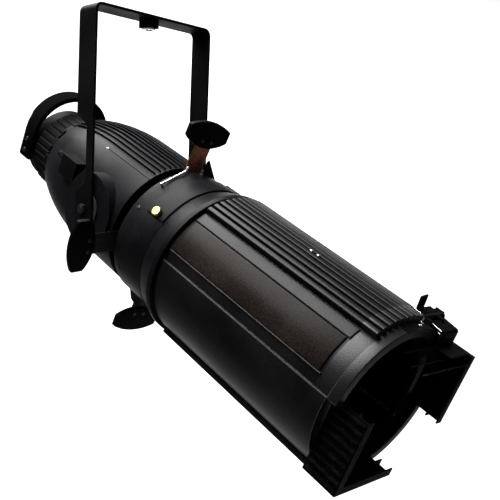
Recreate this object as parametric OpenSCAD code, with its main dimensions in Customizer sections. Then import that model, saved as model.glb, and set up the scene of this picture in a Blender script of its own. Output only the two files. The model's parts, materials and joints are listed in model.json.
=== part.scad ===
// Zoom profile spotlight hanging in a flat strap yoke.
// Origin: top face of the yoke at the hanging bolt hole. +Z up, the lens points to -Y
// and down, X runs along the tilt axis.
// Everything on the head is drawn in head axes: x along the tilt axis, y up and square
// to the beam, z forward along the beam from the tilt axis.

/* [Yoke] */
// Clear width between the yoke arms
yoke_inner_w = 245; // [243:1:260]
// Width of the yoke strap
strap_w = 45; // [38:1:48]
// Thickness of the yoke strap
strap_t = 5; // [4:0.5:6]
// Height of the yoke's top face above the tilt axis
pivot_drop = 335; // [333:1:360]
// Outer radius of the yoke's two bends
bend_r = 14; // [10:1:20]
// Radius of the clearance hole for the hanging bolt
hang_hole_r = 6.5; // [5:0.5:7]

/* [Head] */
// Downward tilt of the beam in degrees
head_tilt = 25; // [0:1:60]
// Outer radius of the lamp house
shell_r = 113.5; // [112.5:0.5:114]
// Radius of the arc that rounds the lamp house off towards the back
dome_arc_r = 390; // [380:5:410]
// Wall of the castings
wall = 3; // [2.5:0.5:4]

/* [Gate] */
// Outer radius of the gate ring
gate_r = 116; // [114:0.5:117]
// Width of a shutter handle
handle_w = 91; // [80:1:94]
// Thickness of a shutter blade
blade_t = 1; // [0.8:0.1:1.2]

/* [Lens tube] */
// Outer radius of the bare lens tube
tube_r = 118; // [116:0.5:119]
// Outer radius over the ribs
rib_r = 130; // [126:1:133]
// Number of ribs in each of the two rib groups
rib_count = 13; // [9:1:13]
// Half width of the accessory holder
holder_half_w = 101; // [100.5:0.5:103]

/* [Hidden] */
$fn = 96;
eps = 0.05;      // running clearance, and the gap left between faces that only meet
cut = 1;         // how far a cutter runs past the face it cuts

black = [0.06, 0.06, 0.065];
soft_black = [0.09, 0.09, 0.095];
steel = [0.62, 0.62, 0.63];
brass = [0.80, 0.62, 0.25];
copper_brown = [0.45, 0.30, 0.22];

// yoke
arm_x = yoke_inner_w / 2;
arm_below_pivot = 24;
nut_w = 25;
nut_h = 14;
pivot_bolt_r = 5;

// stations along the beam
house_back = -196;
dome_start = -50;
house_front = 70;
gate_back = 88;
gate_front = 164;
tube_back = 205;
tube_front = 553;
collar_front = 569;
holder_front = 612;
tube_in_r = tube_r - 4;

// rear
tube_rear_r = 64;
vent_back = -212;
knurl_back = -256;
cap_back = -296;
arch_r = 77;
arch_y = 25;
arch_foot_y = -28;
arch_back = -298;
arch_w = 36;

// shutters: direction round the beam, and the station of each blade
blade_w = 92;
tongue_w = 37;
handle_t = 9;
top_dir = 85.5;
bottom_dir = 267.5;
left_dir = 188;
right_dir = -8;
top_z = 75;
bottom_z = 78;
left_z = 81;
right_z = 84;
hub_r = 100;
hub_neck_r = 92;
// how far a shutter stands out from its drawn place
top_out = 0;
bottom_out = -4;
left_out = -4;
right_out = 0;

// lens tube
rib_pitch = 5.2;
band_dir = 133.5;
panel_dir = 160;
groove_dir = 169.5;
slot_dir = 15;
slot_back = 222;
slot_front = 490;
rail_r = 4;
rail_at = 103;
zoom_z = 300;
focus_z = 470;

function dome_r(z) = z > dome_start ? shell_r
    : shell_r - dome_arc_r + sqrt(dome_arc_r * dome_arc_r - pow(z - dome_start, 2));

// head axes in the fixture's own frame
module head() {
    translate([0, 0, -pivot_drop]) rotate([90 + head_tilt, 0, 0]) children();
}

// turns children drawn along +x out to a direction round the beam
module around(dir, z = 0) {
    translate([0, 0, z]) rotate([0, 0, dir]) children();
}

// part of a ring: radii r0 to r1, stations z0 to z1, directions a0 to a1
module sector(r0, r1, z0, z1, a0, a1) {
    rotate([0, 0, a0]) rotate_extrude(angle = a1 - a0)
        translate([r0, z0]) square([r1 - r0, z1 - z0]);
}

module ring(r0, r1, z0, z1) {
    rotate_extrude() translate([r0, z0]) square([r1 - r0, z1 - z0]);
}

// ---------------------------------------------------------------- yoke

module yoke_bend() {
    translate([arm_x + strap_t - bend_r, 0, -bend_r]) rotate([90, 0, 0])
        rotate_extrude(angle = 90)
            translate([bend_r - strap_t, -strap_w / 2]) square([strap_t, strap_w]);
}

module yoke_arm() {
    arm_end = pivot_drop + arm_below_pivot;
    translate([arm_x, -strap_w / 2, -arm_end]) cube([strap_t, strap_w, arm_end - bend_r]);
}

// cut in the back edge of the left arm that lets the lamp house pass
module arm_relief() {
    deep = -5;
    edge = strap_w / 2 + cut;
    translate([-arm_x - strap_t - cut, 0, 0]) rotate([90, 0, 90])
        linear_extrude(strap_t + 2 * cut)
            polygon([[edge, -176], [deep, -198], [deep, -288], [edge, -308]]);
}

module yoke_strap() {
    bar_half = arm_x + strap_t - bend_r;
    color(black) difference() {
        union() {
            translate([-bar_half, -strap_w / 2, -strap_t]) cube([2 * bar_half, strap_w, strap_t]);
            yoke_bend();
            mirror([1, 0, 0]) yoke_bend();
            yoke_arm();
            mirror([1, 0, 0]) yoke_arm();
        }
        translate([0, 0, -strap_t - cut]) cylinder(h = strap_t + 2 * cut, r = hang_hole_r);
        translate([-arm_x - 2 * strap_t, 0, -pivot_drop]) rotate([0, 90, 0])
            cylinder(h = 2 * arm_x + 4 * strap_t, r = pivot_bolt_r + eps);
        arm_relief();
    }
}

module hanging_nut() {
    color(black) difference() {
        translate([-nut_w / 2, -nut_w / 2, -strap_t - nut_h]) cube([nut_w, nut_w, nut_h]);
        translate([0, 0, -strap_t - nut_h - cut]) cylinder(h = nut_h + 2 * cut, r = hang_hole_r);
    }
}

module hanging_washer() {
    washer_r = 11;
    washer_t = 3;
    color(steel) translate([0, 0, -strap_t - nut_h - washer_t]) difference() {
        cylinder(h = washer_t, r = washer_r);
        translate([0, 0, -cut]) cylinder(h = washer_t + 2 * cut, r = hang_hole_r);
    }
}

// ---------------------------------------------------------------- lamp house

module house_rib(dir) {
    rib_w = 1.1;
    rib_h = 4.9;
    zs = [for (z = [-187 : 13.6 : dome_start]) z];
    outer = [for (z = zs) [dome_r(z) + rib_h, z]];
    inner = [for (i = [len(zs) - 1 : -1 : 0]) [dome_r(zs[i]) - 1, zs[i]]];
    rotate([0, 0, dir]) rotate_extrude(angle = rib_w)
        polygon(concat(outer, [[shell_r + rib_h, house_front - 4], [shell_r - 1, house_front - 4]],
            inner));
}

module lamphouse() {
    step = 17;
    seam_dir = 128.5;
    vent_hole_r = tube_rear_r + eps;
    zs = [for (z = [house_back : step : dome_start]) z];
    outer = [for (z = zs) [dome_r(z), z]];
    inner = [for (i = [len(zs) - 1 : -1 : 1]) [dome_r(zs[i]) - wall, zs[i]]];
    back_in = house_back + wall;
    color(soft_black) head() difference() {
        union() {
            rotate_extrude() polygon(concat(outer,
                [[shell_r, dome_start], [shell_r, house_front],
                    [shell_r - wall, house_front], [shell_r - wall, dome_start]], inner,
                [[dome_r(back_in) - wall, back_in], [vent_hole_r, back_in],
                    [vent_hole_r, house_back]]));
            for (i = [-6 : 6]) house_rib(90 - 0.55 + i * 5.2);
        }
        for (s = [-1, 1]) around(90 + s * (seam_dir - 90)) {
            translate([shell_r - 1.2, -0.7, -52]) cube([4, 1.4, 130]);
            translate([shell_r - wall - cut, 0, -56]) rotate([0, 90, 0]) cylinder(h = 9, r = 2.1);
        }
        translate([-shell_r - cut, 0, 0]) rotate([0, 90, 0])
            cylinder(h = 2 * shell_r + 2 * cut, r = pivot_bolt_r + eps);
    }
}

module lamphouse_screws() {
    color(steel) head() for (s = [-1, 1]) around(90 + s * 38.5, -56) {
        translate([shell_r - wall, 0, 0]) rotate([0, 90, 0]) cylinder(h = wall + 1, r = 2);
        translate([shell_r + eps, 0, 0]) rotate([0, 90, 0]) cylinder(h = 1.6, r = 3.6);
    }
}

module trunnion_bosses() {
    boss_r = 62;
    boss_x = 120;
    color(black) head() for (s = [0, 1]) mirror([s, 0, 0]) difference() {
        translate([90, 0, 0]) rotate([0, 90, 0]) cylinder(h = boss_x - 90, r = boss_r);
        translate([0, 0, -2 * boss_r]) cylinder(h = 4 * boss_r, r = shell_r + eps);
        translate([90, 0, 0]) rotate([0, 90, 0]) cylinder(h = boss_x, r = pivot_bolt_r + eps);
    }
}

module friction_washers() {
    color([0.25, 0.22, 0.2]) head() for (s = [0, 1]) mirror([s, 0, 0])
        translate([120 + eps, 0, 0]) rotate([0, 90, 0]) difference() {
            cylinder(h = arm_x - 120 - 3 * eps, r = 30);
            translate([0, 0, -cut]) cylinder(h = 10, r = pivot_bolt_r + eps);
        }
}

module pivot_bolt(length) {
    head_h = 6;
    seat_gap = 0.5;
    translate([shell_r - wall - head_h, 0, 0]) rotate([0, 90, 0]) {
        cylinder(h = length + head_h, r = pivot_bolt_r);
        cylinder(h = head_h - seat_gap, r = 9);
    }
}

module pivot_bolts() {
    tail = arm_x + strap_t - shell_r + wall;
    color(steel) head() {
        pivot_bolt(tail + 16);
        mirror([1, 0, 0]) {
            pivot_bolt(tail + 6);
            translate([arm_x + strap_t + eps, 0, 0]) rotate([0, 90, 0]) difference() {
                cylinder(h = 5, r = 9, $fn = 6);
                translate([0, 0, -cut]) cylinder(h = 7, r = pivot_bolt_r - 0.01);
            }
        }
    }
}

module tilt_knob() {
    lobes = 6;
    knob_h = 17;
    color(black) head() translate([arm_x + strap_t + eps, 0, 0]) rotate([0, 90, 0]) difference() {
        union() {
            cylinder(h = knob_h, r = 20);
            for (i = [0 : lobes - 1]) rotate([0, 0, i * 360 / lobes])
                translate([19, 0, 0]) cylinder(h = knob_h, r = 7, $fn = 32);
        }
        translate([0, 0, -cut]) cylinder(h = knob_h + 2 * cut, r = pivot_bolt_r + eps);
    }
}

// ---------------------------------------------------------------- rear of the head

module rear_tube() {
    color(black) head() ring(tube_rear_r - 4, tube_rear_r, knurl_back - 2, house_back + wall);
}

module vent_ring() {
    blocks = 14;
    block_w = 17;
    rim_r = 71;
    color(soft_black) head() {
        ring(tube_rear_r + eps, rim_r, vent_back, house_back - eps);
        intersection() {
            ring(tube_rear_r + 1, 82, vent_back + 3, house_back - eps);
            for (i = [0 : blocks - 1]) rotate([0, 0, i * 360 / blocks])
                translate([rim_r - 2, -block_w / 2, vent_back]) cube([14, block_w, 20]);
        }
    }
}

module knurled_ring() {
    scallops = 36;
    ring_r = 76;
    color(black) head() difference() {
        ring(tube_rear_r + eps, ring_r, knurl_back, vent_back - 0.3);
        for (i = [0 : scallops - 1]) rotate([0, 0, i * 360 / scallops])
            translate([ring_r + 1.6, 0, knurl_back - cut])
                cylinder(h = 60, r = 3.4, $fn = 24);
    }
}

module rear_cap() {
    cap_r = 71.8;
    back_r = 60;
    seat = knurl_back - 2 - eps;
    color(black) head() difference() {
        rotate_extrude() polygon([[tube_rear_r - 4, seat], [cap_r, seat], [cap_r, cap_back + 12],
            [back_r, cap_back], [0, cap_back], [0, cap_back + wall], [back_r - 1, cap_back + wall],
            [cap_r - wall, cap_back + 13], [cap_r - wall, seat - wall],
            [tube_rear_r - 4, seat - wall]]);
        for (s = [-1, 1]) for (y = [-14, 8]) translate([0, y, arch_back + arch_w / 2])
            rotate([0, s * 90, 0]) cylinder(h = 90, r = 2.6);
    }
}

module arch_half() {
    t = 10;
    translate([arch_r - t / 2, arch_foot_y, 0]) cube([t, arch_y - arch_foot_y, arch_w]);
}

module handle_arch() {
    t = 10;
    color(soft_black) head() difference() {
        translate([0, 0, arch_back]) union() {
            translate([0, arch_y, 0]) rotate_extrude(angle = 180)
                translate([arch_r - t / 2, 0]) square([t, arch_w]);
            arch_half();
            mirror([1, 0, 0]) arch_half();
        }
        for (s = [-1, 1]) for (y = [-14, 8]) translate([0, y, arch_back + arch_w / 2])
            rotate([0, s * 90, 0]) cylinder(h = 90, r = 2.6);
    }
}

module handle_screws() {
    color(steel) head() for (s = [-1, 1]) for (y = [-14, 8])
        translate([0, y, arch_back + arch_w / 2]) rotate([0, s * 90, 0]) {
            translate([0, 0, 68]) cylinder(h = 15, r = 2.5);
            translate([0, 0, arch_r + 5 + eps]) cylinder(h = 2.2, r = 4.6);
        }
}

gland_at = [-113.5, 47.5, -105];

module terminal_box() {
    color(black) head() difference() {
        translate([-119.5, 18, gland_at[2]]) cube([30, 36, 45]);
        rotate_extrude() polygon(concat([[0, -150]],
            [for (z = [-150 : 10 : -50]) [dome_r(z) + eps, z]], [[0, -50]]));
        translate(gland_at - [0, 0, cut]) cylinder(h = 10, r = 4.5 + eps);
    }
}

module cable_gland() {
    color(black) head() translate(gland_at) difference() {
        union() {
            translate([0, 0, -9]) cylinder(h = 9 - eps, r = 6.2, $fn = 6);
            translate([0, 0, -15]) cylinder(h = 7, r = 5.2);
            translate([0, 0, -1]) cylinder(h = 8, r = 4.5);
        }
        translate([0, 0, -18]) cylinder(h = 30, r = 3);
    }
}

module reflector() {
    // half ellipse: mouth towards the gate, neck round the lamp
    semi_len = 112;
    semi_w = 88;
    centre_z = -62;
    neck_z = -165;
    mouth_z = 10;
    t = 2;
    function wall_r(z, g) = (semi_w + g) * sqrt(1 - pow((z - centre_z) / (semi_len + g), 2));
    zs = [for (i = [0 : 9]) neck_z + i * (mouth_z - neck_z) / 9];
    color(steel) head() {
        rotate_extrude() polygon(concat(
            [for (z = zs) [wall_r(z, 0), z]],
            [for (i = [9 : -1 : 0]) [wall_r(zs[i], t), zs[i]]]));
        ring(64, shell_r - wall - eps, mouth_z - 0.5, mouth_z + 3);
    }
}

module bearing_ring() {
    color(black) head() ring(hub_neck_r + eps, shell_r - wall - eps, 58, 68);
}

lamp_base_r = 20;

module lamp_carrier() {
    carrier_r = tube_rear_r - 4 - eps;
    fins = 6;
    fin_pitch = 5;
    color(steel) head() {
        ring(lamp_base_r + eps, carrier_r, -244, -236);
        for (i = [0 : fins - 1]) translate([0, 0, -232 + fin_pitch * i])
            ring(lamp_base_r + eps, 34, 0, 2);
        ring(lamp_base_r + eps, 24, -237, -200);
    }
}

module lamp_base() {
    color([0.9, 0.88, 0.82]) head() {
        translate([0, 0, -246]) cylinder(h = 62, r = lamp_base_r);
    }
}

module lamp_bulb() {
    bulb_r = 13;
    color([0.9, 0.92, 0.95]) head() rotate_extrude() polygon(concat(
        [[0, -184 + eps], [bulb_r, -184 + eps]],
        [for (a = [0 : 15 : 90]) [bulb_r * cos(a), -118 + bulb_r * sin(a)]]));
}

// ---------------------------------------------------------------- gate and shutters

// flat guards that stand on the hub beside the top and the bottom shutter
module shutter_guards() {
    translate([0, 0, gate_back - 1.8]) linear_extrude(1.6) {
        polygon([[22, 94.5], [22, 134], [26, 138], [56, 101], [52, 82.5]]);
        polygon([[-55, -80], [-62, -87], [-49, -109.5], [-41.6, -126], [-33, -134.7],
            [-25.4, -140.4], [-16, -144], [-16, -96]]);
    }
}

module gate_hub() {
    color(black) head() shutter_guards();
    color(black) head() difference() {
        rotate_extrude() polygon([[hub_neck_r - 4, 54], [hub_neck_r, 54], [hub_neck_r, 70.5],
            [hub_r, 70.5], [hub_r, gate_back], [hub_r - 4, gate_back], [hub_r - 4, 72],
            [hub_neck_r - 4, 72]]);
        blade_slot(top_dir, top_z);
        blade_slot(bottom_dir, bottom_z);
        blade_slot(left_dir, left_z);
        blade_slot(right_dir, right_z);
    }
}

module blade_slot(dir, z) {
    play = 0.4;
    around(dir, z) translate([60, -blade_w / 2 - play, -blade_t / 2 - play])
        cube([60, blade_w + 2 * play, blade_t + 2 * play]);
}

module hub_retainer() {
    color(steel) head() ring(hub_neck_r + eps, 99, 54, 57.6);
}

module shutter_guides() {
    guide_t = 1;
    aperture_r = 40;
    color([0.2, 0.2, 0.2]) head() for (i = [0 : 4])
        ring(aperture_r, hub_r - 4 - eps, 73 + 3 * i, 73 + 3 * i + guide_t);
}

module gate_housing() {
    color(soft_black) head() difference() {
        union() {
            ring(hub_neck_r - 22, gate_r, gate_back + eps, gate_back + 4);
            ring(gate_r - 4, gate_r, gate_back + 3, gate_front);
            ring(96, gate_r, gate_front - 4, gate_front);
        }
        // gobo slot under the cover
        sector(gate_r - 8, gate_r + 4, 126, 156, 72, 136);
        // pocket for the cover's thumb screw
        around(146, 142) rotate([0, 90, 0]) cylinder(h = 150, r = 6.5);
        for (dir = screw_dirs) around(dir, 101) rotate([0, 90, 0]) cylinder(h = 150, r = 2.05);
        around(rod_path[0][0], rod_path[0][1]) rotate([0, 90, 0])
            cylinder(h = 150, r = rod_r + eps);
    }
}

screw_dirs = [28, 152, 208, 332];

module gate_screws() {
    color(steel) head() for (dir = screw_dirs) around(dir, 101) {
        translate([gate_r - 4, 0, 0]) rotate([0, 90, 0]) cylinder(h = 5, r = 2);
        translate([gate_r + eps, 0, 0]) rotate([0, 90, 0]) cylinder(h = 1.4, r = 3.4);
    }
}

// bent steel rod on the gate ring: [direction, station] of its bends
rod_path = [[127, 101.5], [102.5, 95.5], [96, 84]];
rod_r = 1.8;
rod_at = gate_r + 5.2;

function on_ring(p, r) = [r * cos(p[0]), r * sin(p[0]), p[1]];

module rod(p, q) {
    v = q - p;
    translate(p) rotate([0, acos(v[2] / norm(v)), atan2(v[1], v[0])])
        cylinder(h = norm(v), r = rod_r, $fn = 32);
}

module gate_clip() {
    color(steel) head() {
        for (i = [0 : len(rod_path) - 2])
            rod(on_ring(rod_path[i], rod_at), on_ring(rod_path[i + 1], rod_at));
        for (p = rod_path) translate(on_ring(p, rod_at)) sphere(r = rod_r + 0.2, $fn = 32);
        rod(on_ring(rod_path[0], gate_r - 3), on_ring(rod_path[0], rod_at));
    }
}

module slot_cover() {
    cover_t = 2.4;
    color(soft_black) head() difference() {
        union() {
            sector(gate_r + 0.2, gate_r + cover_t, 121, 162, 64.5, 150);
            around(64.5) translate([gate_r + 2.6, 0, 120]) cylinder(h = 43, r = 2.3);
        }
        around(146, 142) rotate([0, 90, 0]) cylinder(h = 150, r = 3.05);
    }
}

module cover_screw() {
    knurls = 20;
    color(brass) head() around(146, 142) {
        translate([gate_r - 2, 0, 0]) rotate([0, 90, 0]) cylinder(h = 6, r = 3);
        translate([gate_r + 2.5, 0, 0]) rotate([0, 90, 0]) difference() {
            cylinder(h = 10, r = 10);
            for (i = [0 : knurls - 1]) rotate([0, 0, i * 360 / knurls])
                translate([10.5, 0, -cut]) cylinder(h = 12, r = 1, $fn = 16);
        }
    }
}

module gate_flange() {
    lip_r = 126.8;
    color(soft_black) head() rotate_extrude() polygon([[108, gate_front + eps],
        [gate_r + 0.5, gate_front + eps], [lip_r, 196], [lip_r, tube_back - eps],
        [tube_in_r, tube_back - eps], [tube_in_r, 196], [108, 180]]);
}

// fan shaped heat resisting grip, drawn with its blade pointing along +x
module handle_outline() {
    intersection() {
        translate([96, 0]) circle(r = 105);
        translate([230, 0]) circle(r = 75);
        translate([150, -handle_w / 2]) square([60, handle_w]);
    }
}

module shutter_handle(dir, z, out) {
    color(black) head() around(dir, z) translate([out, 0, 0]) difference() {
        translate([0, 0, -handle_t / 2]) linear_extrude(handle_t) handle_outline();
        translate([140, -tongue_w / 2 - eps, -blade_t / 2 - eps])
            cube([36, tongue_w + 2 * eps, blade_t + 2 * eps]);
        for (y = [-10, 10]) translate([167, y, -handle_t]) cylinder(h = 2 * handle_t, r = 2.05);
    }
}

module shutter_blade(dir, z, out) {
    color(copper_brown) head() around(dir, z) translate([out, 0, -blade_t / 2]) difference() {
        union() {
            translate([42, -blade_w / 2, 0]) cube([46, blade_w, blade_t]);
            translate([80, -tongue_w / 2, 0]) cube([95, tongue_w, blade_t]);
        }
        for (y = [-10, 10]) translate([167, y, -cut]) cylinder(h = 4, r = 2.05);
    }
}

module rivet_pair(dir, z, out) {
    color(steel) head() around(dir, z) for (y = [-10, 10])
        translate([167 + out, y, -handle_t / 2 - 1]) {
            cylinder(h = handle_t + 2, r = 2);
            cylinder(h = 1 - eps, r = 3.4);
            translate([0, 0, handle_t + 1 + eps]) cylinder(h = 1, r = 3.4);
        }
}

module shutter_blade_top() { shutter_blade(top_dir, top_z, top_out); }
module shutter_handle_top() { shutter_handle(top_dir, top_z, top_out); }
module shutter_blade_bottom() { shutter_blade(bottom_dir, bottom_z, bottom_out); }
module shutter_handle_bottom() { shutter_handle(bottom_dir, bottom_z, bottom_out); }
module shutter_blade_left() { shutter_blade(left_dir, left_z, left_out); }
module shutter_handle_left() { shutter_handle(left_dir, left_z, left_out); }
module shutter_blade_right() { shutter_blade(right_dir, right_z, right_out); }
module shutter_handle_right() { shutter_handle(right_dir, right_z, right_out); }
module rivets_top() { rivet_pair(top_dir, top_z, top_out); }
module rivets_bottom() { rivet_pair(bottom_dir, bottom_z, bottom_out); }
module rivets_left() { rivet_pair(left_dir, left_z, left_out); }
module rivets_right() { rivet_pair(right_dir, right_z, right_out); }

// ---------------------------------------------------------------- lens tube

// a group of lengthwise ribs centred on the top; those under the latch stop short of it
module rib_group(latch_dir) {
    rib_wide = 8;
    root = tube_back + 4;
    for (i = [0 : rib_count - 1]) {
        dir = 90 + (i - (rib_count - 1) / 2) * rib_pitch;
        end = dir < latch_dir ? latch_back - 3 : tube_front;
        around(dir) translate([tube_r - 2, -rib_wide / 2, root])
            cube([rib_r - tube_r + 2, rib_wide, end - root]);
    }
}

module lens_tube() {
    shell_up = 3;
    color(soft_black) head() difference() {
        union() {
            ring(tube_in_r, tube_r, tube_back, tube_front);
            rib_group(76);
            rotate([0, 0, 180]) rib_group(0);
            for (m = [0, 1]) mirror([m, 0, 0]) {
                sector(tube_r - 1, tube_r + shell_up, tube_back + 2, 528, 124, band_dir);
                sector(tube_r - 1, tube_r + shell_up, tube_back + 2, tube_front, groove_dir, 236);
            }
        }
        // slot for the lens studs
        around(slot_dir) translate([60, -4, slot_back]) cube([80, 8, slot_front - slot_back]);
        for (z = [378, 392]) around(98) translate([90, 0, z]) rotate([0, 90, 0])
            cylinder(h = 60, r = 1.55);
    }
}

module side_panels() {
    color([0.16, 0.14, 0.13]) head() for (m = [0, 1]) mirror([m, 0, 0])
        sector(tube_r + eps, tube_r + 3, tube_back + 2, 524, band_dir + 0.3, panel_dir);
}

module tube_screws() {
    color(steel) head() for (z = [378, 392]) around(98, z) {
        translate([tube_r - 4, 0, 0]) rotate([0, 90, 0]) cylinder(h = 17, r = 1.5);
        translate([rib_r + 0.6, 0, 0]) rotate([0, 90, 0]) cylinder(h = 1, r = 2.6);
    }
}

rail_dirs = [210, 330];

module lens_rails() {
    color(steel) head() for (dir = rail_dirs) around(dir)
        translate([rail_at, 0, tube_back + 2]) cylinder(h = tube_front - tube_back - 4, r = rail_r);
}

module rail_ring(z) {
    difference() {
        ring(94, tube_in_r - eps, z, z + 8);
        for (dir = rail_dirs) around(dir) translate([rail_at, 0, z - cut])
            cylinder(h = 10, r = rail_r + 0.01);
    }
}

module rail_rings() {
    color(black) head() {
        rail_ring(tube_back + 2);
        rail_ring(tube_front - 10);
    }
}

module carrier(z) {
    carrier_t = 24;
    difference() {
        ring(90 + eps, 111, z - carrier_t / 2, z + carrier_t / 2);
        for (dir = rail_dirs) around(dir) translate([rail_at, 0, z - carrier_t])
            cylinder(h = 2 * carrier_t, r = rail_r + eps);
    }
    around(slot_dir, z) translate([108, 0, 0]) rotate([0, 90, 0]) cylinder(h = 28, r = 3.9);
}

// plano-convex glass: flat face at z, dome of the given rise towards the front
module lens(z, rise) {
    lens_r = 90;
    rim_t = 5;
    arc_r = (lens_r * lens_r + rise * rise) / (2 * rise);
    color([0.75, 0.85, 0.88]) head() rotate_extrude() polygon(concat([[0, z], [lens_r, z]],
        [for (i = [0 : 6]) let (r = lens_r * (1 - i / 6))
            [r, z + rim_t + sqrt(arc_r * arc_r - r * r) - (arc_r - rise)]]));
}

module stud_knob(z) {
    head() around(slot_dir, z) translate([123, 0, 0]) rotate([0, 90, 0]) difference() {
        union() {
            cylinder(h = 18, r = 13);
            for (i = [0 : 7]) rotate([0, 0, i * 45]) translate([12, 0, 3])
                cylinder(h = 15, r = 3, $fn = 24);
        }
        translate([0, 0, -cut]) cylinder(h = 20, r = 3.9 + eps);
    }
}

module zoom_carrier() { color(black) head() carrier(zoom_z); }
module zoom_lens() { lens(zoom_z - 8, 16); }
module zoom_knob() { color(black) stud_knob(zoom_z); }
module focus_carrier() { color(black) head() carrier(focus_z); }
module focus_lens() { lens(focus_z - 8, 14); }
module focus_knob() { color(black) stud_knob(focus_z); }

// ---------------------------------------------------------------- accessory holder

wall_t = 3;
wall_in = holder_half_w - wall_t;
collar_r = tube_r + 1;
side_top = 20;
foot_low = 93;
foot_high = 91;

module front_collar() {
    color(soft_black) head() difference() {
        ring(106, collar_r, tube_front + eps, collar_front);
        for (s = [0, 180]) rotate([0, 0, s])
            translate([-160, -160, tube_front - cut]) cube([160 - wall_in + eps, 160 + side_top + eps, 40]);
    }
}

// One corner of the accessory holder: a side wall with fins outside, a foot wall, and the
// lips of two channels. drop is how far the foot wall's outer face is from the beam's axis.
module holder_corner(drop) {
    fins = 9;
    fin_pitch = 12.6;
    fin_out = 4;
    foot_end = 24;
    lip_w = 9;
    lip_t = 2;
    side_h = side_top + drop;
    front = holder_front - lip_t;
    // side wall
    translate([-holder_half_w, -drop, tube_front + 1])
        cube([wall_t, side_h, holder_front - tube_front - 1]);
    // foot wall
    translate([-holder_half_w, -drop, collar_front + eps])
        cube([holder_half_w + foot_end, wall_t, holder_front - collar_front - eps]);
    // web between the walls and the collar
    intersection() {
        ring(98, 150, collar_front + eps, collar_front + 3);
        translate([-holder_half_w, -drop, collar_front])
            cube([holder_half_w + foot_end, side_h, 10]);
    }
    for (z = [591, front]) {
        translate([-wall_in - cut, -drop, z]) cube([lip_w + cut, side_h, lip_t]);
        translate([-wall_in, -drop + 1, z]) cube([wall_in + foot_end, wall_t + lip_w - 1, lip_t]);
    }
    for (i = [0 : fins - 1])
        translate([-holder_half_w - fin_out, -drop + 6 + i * fin_pitch, tube_front + 3])
            cube([fin_out + cut, 3, holder_front - tube_front - 5]);
}

module holder_lower() { color(black) head() holder_corner(foot_low); }

// latch: stations, hinge line and width
latch_back = 525;
latch_pin_z = 547;
latch_pin_y = 117.5;
latch_x = 46;
latch_w = 45;
pin_r = 2.5;
ear_w = 5;
saddle_r = 120.2;

module latch_ear(x) {
    difference() {
        union() {
            translate([x, latch_pin_y, latch_pin_z]) rotate([0, 90, 0])
                cylinder(h = ear_w, r = 4.6);
            translate([x, 90, latch_pin_z]) cube([ear_w, latch_pin_y + 3 - 90, 12]);
        }
        translate([0, 0, latch_pin_z - 10]) cylinder(h = 30, r = collar_r + 0.5);
    }
}

module holder_upper() {
    color(black) head() difference() {
        union() {
            rotate([0, 0, 180]) holder_corner(foot_high);
            // saddle on the collar
            sector(collar_r + eps, saddle_r, tube_front + 1, collar_front + 2, 46, 103);
            for (x = [latch_x - ear_w - eps, latch_x + 26]) latch_ear(x);
        }
        translate([20, latch_pin_y, latch_pin_z]) rotate([0, 90, 0])
            cylinder(h = 90, r = pin_r + 0.01);
        // mouth where frames drop in: the foot wall stays only behind the channels
        translate([-60, 80, collar_front + 6]) cube([60 + wall_in - 5, 30, 60]);
    }
}

module saddle_screws() {
    color(steel) head() for (p = [[79, 557], [86, 563]]) around(p[0], p[1]) {
        translate([saddle_r + eps, 0, 0]) rotate([0, 90, 0]) cylinder(h = 1.3, r = 2.6);
    }
}

module latch_hinge_pin() {
    color(steel) head() translate([latch_x - ear_w - 1, latch_pin_y, latch_pin_z])
        rotate([0, 90, 0]) cylinder(h = latch_w + ear_w + 2, r = pin_r);
}

// sheet outline in station and height: plate, down turned lip and tongue over the channels
module latch_section() {
    t = 2.5;
    back_y = 119.5;
    top = [[latch_back, back_y], [576, 113.8], [578.5, 111], [578.5, 93], [605, 93]];
    under = [[605, 93 - t], [578.5 - t, 93 - t], [578.5 - t, 110.5], [575, 113.8 - t],
        [latch_back, back_y - t]];
    polygon(concat(top, under));
}

module latch_plate() {
    ear_gap = 26;
    tab_w = 16;
    color(soft_black) head() difference() {
        union() {
            translate([latch_x, 0, 0]) rotate([0, -90, 180]) mirror([0, 1, 0])
                linear_extrude(latch_w) latch_section();
            translate([latch_x, latch_pin_y, latch_pin_z]) rotate([0, 90, 0])
                cylinder(h = latch_w, r = 4.4);
            // side lug with an upturned edge
            translate([latch_x + latch_w - 1, 116.5, 531]) cube([8, 2.5, 14]);
            translate([latch_x + latch_w + 5, 116.5, 531]) cube([2, 4.5, 14]);
            // finger tab
            translate([latch_x + 5, 117.5, latch_back + 1]) rotate([0, 0, 8]) cube([tab_w, 22, 2.5]);
        }
        translate([latch_x - cut, latch_pin_y, latch_pin_z]) rotate([0, 90, 0])
            cylinder(h = latch_w + 2 * cut, r = pin_r + eps);
        translate([latch_x + ear_gap - 0.2, 90, latch_pin_z - 6]) cube([ear_w + 0.4, 40, 20]);
    }
}

// ---------------------------------------------------------------- build

yoke_strap();
hanging_nut();
hanging_washer();
lamphouse();
trunnion_bosses();
friction_washers();
pivot_bolts();
lamphouse_screws();
vent_ring();
rear_tube();
rear_cap();
handle_arch();
handle_screws();
terminal_box();
cable_gland();
reflector();
bearing_ring();
knurled_ring();
lamp_carrier();
lamp_base();
lamp_bulb();
tilt_knob();
gate_hub();
hub_retainer();
shutter_guides();
gate_housing();
gate_screws();
gate_clip();
gate_flange();
lens_tube();
side_panels();
tube_screws();
lens_rails();
rail_rings();
front_collar();
holder_lower();
holder_upper();
saddle_screws();
latch_hinge_pin();
slot_cover();
cover_screw();
shutter_blade_top();
shutter_handle_top();
shutter_blade_bottom();
shutter_handle_bottom();
shutter_blade_left();
shutter_handle_left();
shutter_blade_right();
shutter_handle_right();
rivets_top();
rivets_bottom();
rivets_left();
rivets_right();
zoom_carrier();
zoom_lens();
zoom_knob();
focus_carrier();
focus_lens();
focus_knob();
latch_plate();
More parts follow.
